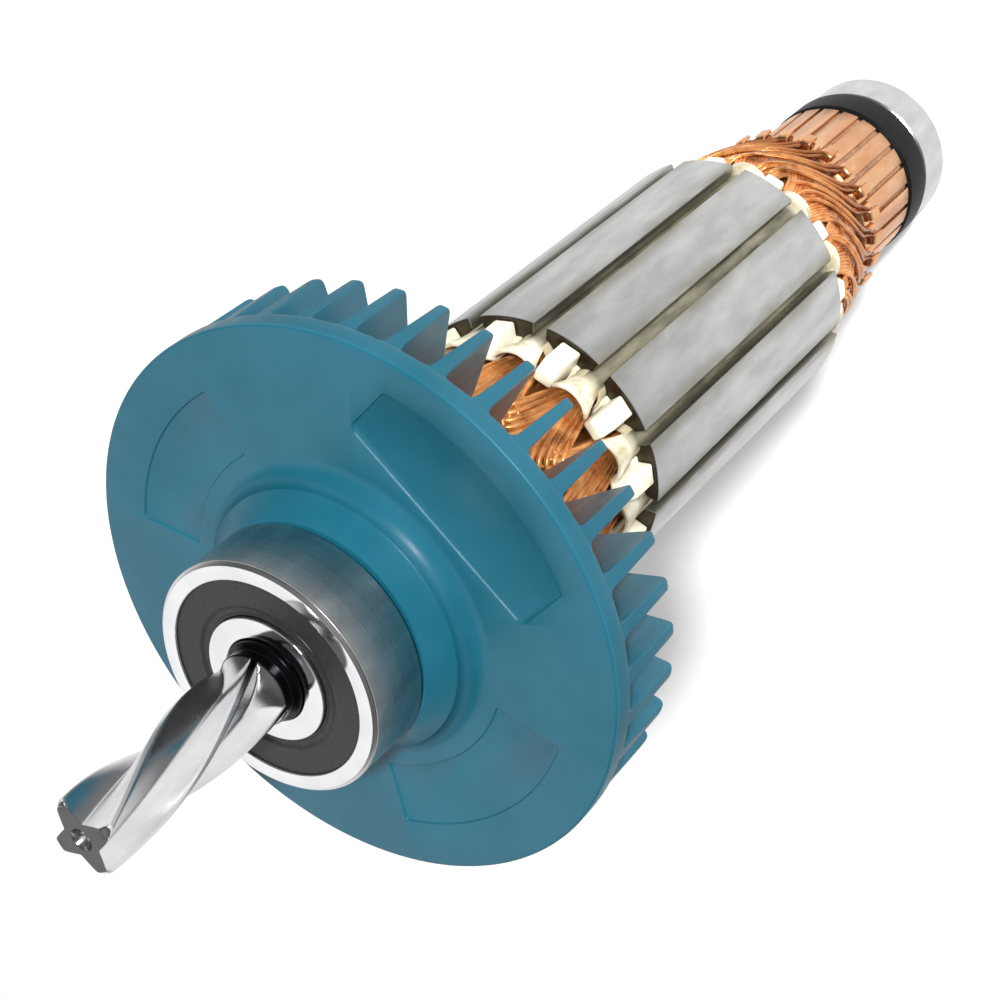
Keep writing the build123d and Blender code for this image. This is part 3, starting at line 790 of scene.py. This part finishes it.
def dress_bearing(end, ball_r, seal_r, land_r, chamfer):
    """Rings and seals of one bearing."""
    rebate, seal_depth, play, lip_gap, set_back = 0.45, 1.05, 0.04, 0.06, 0.25
    base, top = span(f"{end}_bearing_outer_ring")
    outer_r = reach(f"{end}_bearing_outer_ring")
    bore_r = bore(f"{end}_bearing_inner_ring")
    middle = (base + top) / 2
    pitch_r = (bore_r + outer_r) / 2
    wall_r = seal_r - rebate
    outer = rounded([
        (outer_r - chamfer, base), (outer_r, base + chamfer), (outer_r, top - chamfer),
        (outer_r - chamfer, top), (seal_r, top), (seal_r, top - seal_depth), (wall_r, top - seal_depth),
        *reversed(groove(pitch_r, ball_r + play, middle, wall_r)),
        (wall_r, base + seal_depth), (seal_r, base + seal_depth), (seal_r, base),
    ], 0.16)
    finished(lathe(f"{end}_outer_ring_piece", outer), RING, f"{end}_outer_race",
             "bearing_steel", f"{end}_bearing_outer_ring")
    inner = rounded([
        (bore_r + chamfer / 2, base), (land_r, base),
        *groove(pitch_r, ball_r + play, middle, land_r),
        (land_r, top), (bore_r + chamfer / 2, top), (bore_r, top - chamfer / 2), (bore_r, base + chamfer / 2),
    ], 0.12)
    finished(lathe(f"{end}_inner_ring_piece", inner), RING, "armature",
             "bearing_steel", f"{end}_bearing_inner_ring")
    lip_r = land_r + lip_gap
    width = seal_r - lip_r
    for side, face, way in (("front", top - set_back, -1), ("rear", base + set_back, 1)):
        levels = [
            (lip_r, 0.8), (seal_r, 0.8), (seal_r, 0.06), (seal_r - 0.12, 0.0), (lip_r + width * 0.30, 0.0),
            (lip_r + width * 0.27, 0.05), (lip_r + width * 0.20, 0.22), (lip_r + width * 0.08, 0.25),
            (lip_r + width * 0.05, 0.17), (lip_r, 0.17),
        ]
        outline = rounded([(r, face + way * depth) for r, depth in levels], 0.06)
        finished(lathe(f"{end}_bearing_{side}_seal_piece", outline), SEAL, f"{end}_outer_race",
                 "seal_rubber", f"{end}_bearing_{side}_seal")


dress_bearing("front", ball_r=2.381, seal_r=11.04, land_r=6.92, chamfer=0.38)
dress_bearing("rear", ball_r=1.984, seal_r=9.5, land_r=6.05, chamfer=0.5)


# Fan

def blade_piece():
    """Blade along +X with rounded edges and a filleted root."""
    root, edge, fillet, sink, ease = 0.85, 0.55, 1.0, 1.3, 0.28
    inner, outer, corner = 20.5, 31.2, 0.9
    stations = [(inner, 0.14), (inner + 0.05, 0.05), (inner + 0.15, 0.0), (24.0, 0.0), (27.5, 0.0)]
    for share in (0.0, 0.35, 0.6, 0.8, 0.92):
        stations.append((outer - corner + corner * share, 0.0 if share < 0.9 else 0.03))
    stations.append((outer, 0.12))
    rows = []
    for x, inset in stations:
        past = max(0.0, x - (outer - corner))
        tip = blade_tips + corner - sqrt(max(0.0, corner ** 2 - past ** 2)) + inset * 0.5
        if x == outer:
            tip = blade_tips + corner
        side = [(fillet + root - inset, disc_back + sink)]
        for a in (0, 22, 45, 67, 90):
            wide, drop = fillet * (1 - sin(radians(a))), fillet * (1 - cos(radians(a)))
            side.append((root + wide - inset, disc_back - drop))
        thick = edge - inset
        for a in (0, 30, 60, 90):
            side.append((thick - ease * (1 - cos(radians(a))), tip + ease * (1 - sin(radians(a)))))
        rows.append([(x, y, z) for y, z in side] + [(x, -y, z) for y, z in reversed(side)])
    return capped("blade", rows)


def panel_outlines():
    """Outlines of the three bare, shallow recesses in the fan's face."""
    left, right, top_side, rim = -12.0, 12.8, -18.3, 28.0
    sector_inner, sector_outer, corner = 18.6, 26.0, 0.9
    first, last = degrees(asin(left / rim)) - 90, degrees(asin(right / rim)) - 90
    straight = arc((0, 0), rim, first, last, 24) + [(right, top_side), (left, top_side)]
    sectors = []
    for low, high in ((-13, 35), (144, 205)):
        sectors.append(arc((0, 0), sector_outer, low, high, 30) + arc((0, 0), sector_inner, high, low, 30))
    return [rounded(outline, corner, 5) for outline in (straight, *sectors)]


def fan_piece():
    """Hub, disc and rim turned in one, with bare panels sunk in its face and blades behind."""
    ridge_r, fillet, lip_r, edge_radius, panel_depth = 15.1, 2.4, 12.9, 0.35, 0.25
    hub_rear_r, seat_r = 10.0, bore("fan")
    foot = [
        (ridge_r + fillet * (1 - cos(radians(a))), fan_face + fillet * (1 - sin(radians(a))))
        for a in range(90, -1, -9)
    ]
    outline = rounded([
        (seat_r, hub_rear), (hub_rear_r, hub_rear), (hub_rear_r, disc_back), (fan_r, disc_back),
        (fan_r, fan_face), *foot, (lip_r, hub_front), (seat_r, hub_front),
    ], edge_radius, 4)
    body = lathe("fan_body", outline, 320)
    floor = fan_face - panel_depth
    levels = [
        (floor, 0.16), (floor + 0.05, 0.07), (fan_face - 0.1, 0.02), (fan_face - 0.03, -0.03),
        (fan_face, -0.12), (fan_face + 1, -0.12),
    ]
    cutters = [prism(f"panel_{i}", panel, levels) for i, panel in enumerate(panel_outlines())]
    for cutter in cutters:
        cut = body.modifiers.new(cutter.name, "BOOLEAN")
        cut.operation = "DIFFERENCE"
        cut.solver = "EXACT"
        cut.object = cutter
    whole = plain(body)
    for cutter in cutters:
        bpy.data.objects.remove(cutter)
    return joined("fan_piece", whole, around_shaft(blade_piece(), blade_count, blade_angle, FAN))


finished(fan_piece(), FAN, "armature", "fan_plastic", "fan", angle=32)


# Core and its insulation

def lamination_outline(outer_r, edge_radius, opening=slot_opening):
    """Teeth and slots of one sheet, anticlockwise."""
    half_pitch = radians(180 / slot_count)
    top_r = slot_top_r * sin(half_pitch) - tooth_width / 2
    bottom_r = slot_bottom_r * sin(half_pitch) - tooth_width / 2
    half = opening / 2
    meet = degrees(asin(half / top_r))
    lip = sqrt(outer_r ** 2 - half ** 2)
    lean = 90 + 180 / slot_count
    slot = [(lip, -half)]
    slot += arc((slot_top_r, 0), top_r, -meet, -lean, 8)
    slot += arc((slot_bottom_r, 0), bottom_r, -lean, lean - 360, 8)
    slot += arc((slot_top_r, 0), top_r, lean, meet, 8)
    slot += [(lip, half)]
    mouth = degrees(asin(half / outer_r))
    outline = []
    for i in range(slot_count):
        turn = slot_angle + 360 / slot_count * i
        for x, y in slot:
            outline.append(polar(hypot(x, y), degrees(atan2(y, x)) + turn))
        outline += arc((0, 0), outer_r, turn + mouth, turn + 360 / slot_count - mouth, 16)[1:-1]
    return rounded(outline, edge_radius, 2)


burr = 0.1
stack = prism("core_piece", lamination_outline(core_r, 0.12), [
    (core_base, burr), (core_base + burr, 0.0), (core_top - burr, 0.0), (core_top, burr)
], sleeve_r)
finished(stack, CORE, "armature", "core_steel", "lamination_stack")


def wedge_piece():
    """Bent strip along one slot, opening into a wider arch past each end of the core."""
    strip_radius = slot_top_r * sin(radians(180 / slot_count)) - tooth_width / 2 - 0.5
    cuff_reach, rear_cuff_radius = 15.7, 2.87
    # Each section: its centre's radius, its own radius, half its angle and half its thickness
    strip = (slot_top_r, strip_radius, 78.0, 0.25)
    narrow = (slot_top_r + 0.1, strip_radius, 44.0, 0.25)
    rear_cuff = (cuff_reach - rear_cuff_radius, rear_cuff_radius, 50.0, 0.25)
    front_cuff = (12.83, 2.9, 58.0, 0.22)

    def between(a, b, t):
        return tuple(p + (q - p) * t for p, q in zip(a, b))

    rear, front = span("slot_wedges")
    levels = [
        (rear, rear_cuff, 0.5), (rear + 0.08, rear_cuff, 0.9), (rear + 0.25, rear_cuff, 1.0),
        (core_base - 1.6, rear_cuff, 1.0), (core_base - 1.0, strip, 1.0), (core_base - 0.8, strip, 1.0),
        (core_top - 0.6, strip, 1.0), (core_top + 0.2, narrow, 1.0),
    ]
    steps = 8
    for i in range(1, steps):
        t = i / steps
        level = core_top + 0.2 + (front - core_top - 0.45) * t
        levels.append((level, between(narrow, front_cuff, t ** 1.25), 1.0))
    levels += [(front - 0.25, front_cuff, 1.0), (front - 0.08, front_cuff, 0.9), (front, front_cuff, 0.5)]
    rows = []
    for z, (centre_r, radius, half, thick), share in levels:
        outer = arc((centre_r, 0), radius + thick * share, -half, half, 14)
        inner = arc((centre_r, 0), radius - thick * share, half, -half, 14)
        rows.append([(x, y, z) for x, y in rounded(outer + inner, 0.12, 2)])
    return capped("slot_wedges_piece", rows)


wedges = around_shaft(
    wedge_piece(), slot_count, slot_angle, WEDGE, uneven_turn=0.5, uneven_level=0.12, seed=3
)
finished(wedges, WEDGE, "armature", "wedge_fibre", "slot_wedges")


def insulator(end, face, way, block_height):
    """Moulded spider with a block in front of each tooth."""
    inner, outer, width, taper = 13.4, 16.3, 2.5, 0.10
    plate_r, plate_thick = 14.6, 0.8
    levels = sorted([(face, 0.0), (face + way * plate_thick, 0.0)])
    plate = prism("plate", lamination_outline(plate_r, 0.2, insulator_opening), levels, sleeve_r)
    profile = [
        (inner, 0.0), (outer, 0.0), (outer, block_height * 0.74), (outer - 1.0, block_height),
        (inner + 0.7, block_height), (inner, block_height * 0.8),
    ]
    sides = [
        [(x, side * width / 2 * (1 - taper * z / block_height), face + way * z) for x, z in profile]
        for side in (-1, 1)
    ]
    block = bevelled(capped("block", sides), width=0.28, segments=3, angle=25)
    blocks = around_shaft(
        block, slot_count, slot_angle + 180 / slot_count, WHITE, uneven_turn=0.4, uneven_level=0.06, seed=5
    )
    piece = joined(f"{end}_insulator_piece", plate, blocks)
    finished(piece, WHITE, "armature", "insulator_plastic", f"{end}_end_insulator", angle=50)


insulator("front", core_top, 1, block_height=5.3)
insulator("rear", core_base, -1, block_height=3.2)


# Windings

def smooth(t):
    t = min(1.0, max(0.0, t))
    return t * t * (3 - 2 * t)


def coil_route(slot, start_r, over_r, lean, low, high, shift):
    """Wire from one slot over the end of the core to another slot."""
    slots_on, rise_part, bulge_part, steps = 5, 0.16, 0.24, 30
    first = slot_angle + 360 / slot_count * slot + shift
    sweep = slots_on * 360 / slot_count - 2 * shift
    route = []
    for i in range(steps + 1):
        t = i / steps
        rise = smooth(min(t, 1 - t) / rise_part)
        turn = smooth(t) * 0.75 + t * 0.25 if 0 < t < 1 else t
        r = start_r + (over_r - start_r) * smooth(min(t, 1 - t) / 0.5)
        bulge = lean * sin(pi * min(1.0, min(t, 1 - t) / bulge_part))
        route.append(polar(r + bulge, first + sweep * turn, low + (high - low) * rise))
    return route


def coils(shuffle, low, far, across, least_lift, over_r, spread, lean, step):
    """Routes of all coils at one end of the core, in three layers each. They start at the low level, lean
    outwards and cross over near the far level, the outer wires of a layer further out and less high."""
    start_r, layer_depth, shift_by_side = 12.6, 0.75, 6.5
    outer_drop, lean_by_layer, lean_by_side = 0.30, 0.35, 0.25
    routes = []
    way = 1 if far > low else -1
    for slot in range(slot_count):
        lift = shuffle.uniform(least_lift, 0.3)
        for layer in range(3):
            for wire in range(across):
                side = (wire - (across - 1) / 2) / ((across - 1) / 2)
                share = 0.5 + 0.5 * side
                start = start_r - layer * layer_depth + shuffle.uniform(-0.1, 0.1)
                over = over_r + 0.5 * layer + spread * share + shuffle.uniform(-0.15, 0.15)
                height = way * (far - low) * (1 - outer_drop * share) - layer * step + lift
                shift = side * shift_by_side + shuffle.uniform(-0.3, 0.3)
                out = lean - layer * lean_by_layer + lean_by_side * side
                routes.append(coil_route(slot, start, over, out, low, low + way * height, shift))
    return routes


def winding(end, routes, radius, sides, heart, rounding):
    """Wires over a heart that is turned from an outline."""
    inside = lathe("heart", rounded(heart, rounding, 4), 96)
    piece = joined(f"{end}_winding_piece", wires(f"{end}_wires", routes, radius, COPPER, sides), inside)
    finished(piece, COPPER, "armature", "winding_copper", f"{end}_end_winding", angle=60)


def front_winding():
    """Coil ends at the fan's side, wound as leaning bundles over a heart of wire."""
    routes = coils(
        random.Random(4), winding_low + 0.3, winding_high - 0.45, across=6, least_lift=-0.5, over_r=8.2,
        spread=2.2, lean=1.15, step=0.8,
    )
    heart = [
        (sleeve_r, winding_low), (12.2, winding_low), (12.6, winding_low + 5), (12.2, winding_high - 5),
        (10.5, winding_high - 2.2), (sleeve_r, winding_high - 1.6),
    ]
    winding("front", routes, radius=0.44, sides=8, heart=heart, rounding=1.2)


def rear_winding():
    """Coil ends and the leads that run down to the commutator's risers, two to each."""
    shuffle = random.Random(9)
    routes = coils(
        shuffle, rear_head - 0.3, rear_head - 11.0, across=9, least_lift=-0.4, over_r=9.0, spread=2.4,
        lean=1.5, step=0.7,
    )
    clamped_r, foot_r, head_r, tuck, steps = 12.28, 12.3, 14.3, 0.9, 26
    under_riser, twin_drop, twin_out, mean_swing = 1.95, 0.6, 0.12, 46
    for bar in range(bar_count):
        for twin in (0, 1):
            angle = bar_gap_angle + 360 / bar_count * (bar + 0.5)
            swing = mean_swing + shuffle.uniform(-5, 5)
            under = bar_top - under_riser - twin_drop * twin
            route = [polar(clamped_r, angle - 3.6, under), polar(clamped_r, angle, under - 0.02)]
            for i in range(steps + 1):
                t = i / steps
                turn = 2.2 + (2.6 + 2.6 * twin) * smooth(t * 5) + swing * smooth(t) ** 1.5
                r = foot_r + (head_r - foot_r) * smooth(t * 1.25) - tuck * smooth((t - 0.85) / 0.15)
                z = under + 0.04 + (rear_head - 4.0 - under) * t
                route.append(polar(r + twin * twin_out * smooth(t * 5), angle + turn, z))
            routes.append(route)
    heart = [
        (sleeve_r, rear_foot), (11.2, rear_foot), (11.9, rear_foot + 2.0), (13.2, rear_head - 9),
        (13.3, rear_head - 4), (12.6, rear_head), (sleeve_r, rear_head),
    ]
    winding("rear", routes, radius=0.29, sides=6, heart=heart, rounding=1.0)


front_winding()
rear_winding()


# Commutator

def bar_piece():
    """One copper bar along +X with its riser."""
    half_gap, nose = 0.3, 0.6
    track_r, root_r = 11.2, 9.0
    track_top = bar_base + 12.5
    half_angle = 180 / bar_count

    def corner(r, side, z):
        return polar(r, side * (half_angle - degrees(asin(half_gap / r))), z)

    profile = [
        (root_r, bar_base), (track_r, bar_base), (track_r, track_top), (riser_r, track_top + 0.5),
        (riser_r, bar_top - nose), (riser_r - nose, bar_top), (root_r, bar_top),
    ]
    return capped("bar", [[corner(r, side, z) for r, z in profile] for side in (-1, 0, 1)])


def hook_piece():
    """Tang along +X, bent back over the leads."""
    thick, bend, length, width = 0.5, 0.8, 2.6, 1.3
    top = bar_top - 0.7
    centre = (hook_r - bend, top - bend)
    outline = [(hook_r, top - length)] + arc(centre, bend, 0, 90, 6) + [(riser_r - thick, top)]
    outline += [(riser_r - thick, top - thick)] + arc(centre, bend - thick, 90, 0, 6)
    outline += [(hook_r - thick, top - length)]
    return capped("hook", [[(r, side * width / 2, z) for r, z in outline] for side in (-1, 1)])


bar = joined(
    "bar_and_hook", bevelled(bar_piece(), width=0.14, segments=2, angle=30),
    bevelled(hook_piece(), width=0.1, segments=2, angle=50),
)
bars = around_shaft(bar, bar_count, bar_gap_angle + 180 / bar_count, BAR)
bars.name = "commutator_bars_piece"
finished(bars, BAR, "armature", "bar_copper", "commutator_bars", angle=30)

boss_r, ring_chamfer = 5.99, 0.4
collar = rounded([
    (shaft_r, boss_base), (boss_r, boss_base), (boss_r, ring_base), (ring_r - ring_chamfer, ring_base),
    (ring_r, ring_base + ring_chamfer), (ring_r, ring_top - ring_chamfer), (ring_r - ring_chamfer, ring_top),
    (shaft_r, ring_top),
], 0.2)
finished(lathe("dust_ring_piece", collar), BLACK, "armature", "black_plastic", "dust_ring")


# Nodes that are shown as they are

for node, finish in (
    ("slot_liners", LINER), ("slot_coil_sides", COPPER), ("commutator_mica", MICA), ("commutator_hub", HUB),
    ("insulating_sleeve", SLEEVE), ("front_bearing_balls", RING), ("rear_bearing_balls", RING),
    ("front_bearing_cage", CAGE), ("rear_bearing_cage", CAGE),
):
    paint(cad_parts[node], finish)


# Camera, floor and light

def set_camera():
    """Camera at the photograph's viewing angle."""
    place = Vector((0.30, -160.37, 259.67)) * MM
    right = Vector((-0.65573, -0.53217, -0.53555))
    up = Vector((0.75493, -0.45243, -0.47475))
    camera = placed("camera", bpy.data.cameras.new("camera"))
    camera.data.sensor_width = 36
    camera.data.lens = 73.62
    camera.data.clip_start = 0.01
    turn = Matrix((right, up, right.cross(up))).transposed().to_4x4()
    camera.matrix_world = Matrix.Translation(place) @ turn
    scene.camera = camera


def area_light(name, place, aim, size, power, mirrored=True):
    """Round lamp, with its place, aim and size in metres; metal can be kept from mirroring it."""
    lamp = bpy.data.lights.new(name, "AREA")
    lamp.shape = "DISK"
    lamp.size = size
    lamp.energy = power
    light = placed(name, lamp)
    light.location = place
    light.visible_glossy = mirrored
    light.rotation_euler = (Vector(aim) - Vector(place)).to_track_quat("-Z", "Y").to_euler()


def floor_finish():
    """Pale floor that keeps a soft shadow and fades to white far off; metal mirrors it greyer in a ring round
    the object than close by or far off, and pale behind it."""
    zone_reach, fade_start, fade_end = 600, 380, 900
    f = Finish("floor", roughness=0.9)
    f.colour(f.mix(f.noise(40, detail=2), grey(0.86), grey(0.88)))
    path = f.nodes.new("ShaderNodeLightPath").outputs
    zones = f.ramp(
        f.math("DIVIDE", f.radius(), zone_reach * MM),
        (0.0, 1.0), (0.16, 1.0), (0.23, 0.20), (0.38, 0.20), (0.58, 1.0), (1.0, 1.0),
    )
    behind = f.between(f.axes()[1], 20 * MM, 140 * MM, 0, 1)
    glow = f.nodes.new("ShaderNodeEmission")
    f.feed(glow.inputs["Color"], f.mix(path["Is Glossy Ray"], grey(1.0), f.mix(behind, zones, grey(0.9))))
    far_off = f.between(f.radius(), fade_start * MM, fade_end * MM, 0.12, 1)
    shown = f.math("ADD", f.math("MULTIPLY", path["Is Camera Ray"], far_off), path["Is Glossy Ray"])
    blend = f.nodes.new("ShaderNodeMixShader")
    for socket, source in zip(blend.inputs, (shown, f.shader.outputs[0], glow.outputs[0])):
        f.feed(socket, source)
    f.feed(f.nodes["Material Output"].inputs["Surface"], blend.outputs[0])
    return f.material


def sky():
    """World that is white to the camera and soft to matt surfaces; metal mirrors a bright band round the
    horizon, a dark room above it and a bright window behind the object."""
    window_height = radians(46)
    world = bpy.data.worlds.new("studio")
    world.use_nodes = True
    s = Nodes(world.node_tree)
    direction = s.nodes.new("ShaderNodeTexCoord").outputs["Generated"]
    split = s.nodes.new("ShaderNodeSeparateXYZ")
    s.feed(split.inputs[0], direction)
    up = split.outputs["Z"]
    soft = s.ramp(up, (0.0, 0.26), (0.3, 0.28), (0.62, 0.35), (1.0, 0.41))
    room = s.ramp(up, (0.0, 0.85), (0.12, 0.60), (0.24, 0.10), (0.5, 0.05), (0.72, 0.14), (1.0, 0.20))
    patch = s.nodes.new("ShaderNodeVectorMath")
    patch.operation = "DOT_PRODUCT"
    patch.inputs[1].default_value = (0.02, cos(window_height), sin(window_height))
    s.feed(patch.inputs[0], direction)
    window = s.ramp(patch.outputs["Value"], (0.74, 0.0), (0.88, 0.95), (1.0, 0.95))
    path = s.nodes.new("ShaderNodeLightPath").outputs
    light = s.mix(path["Is Glossy Ray"], soft, s.mix(1.0, room, window, "ADD"))
    s.feed(s.nodes["Background"].inputs["Color"], s.mix(path["Is Camera Ray"], light, grey(1.0)))
    scene.world = world


def studio():
    """World, lamps and floor."""
    sky()
    scene.view_settings.view_transform = "Standard"
    area_light("key", (0.03, -0.86, 0.38), (0, 0, 0.1), size=0.26, power=3.4)
    area_light("shade_maker", (0.21, -1.28, 1.50), (0, 0, 0.09), size=0.17, power=60, mirrored=False)
    half = 3000
    corners = [(-half, -half, 0), (half, -half, 0), (half, half, 0), (-half, half, 0)]
    floor = mesh_of("floor", corners, [(0, 1, 2, 3)])
    floor.data.materials.append(floor_finish())


set_camera()
studio()

bpy.context.view_layer.update()
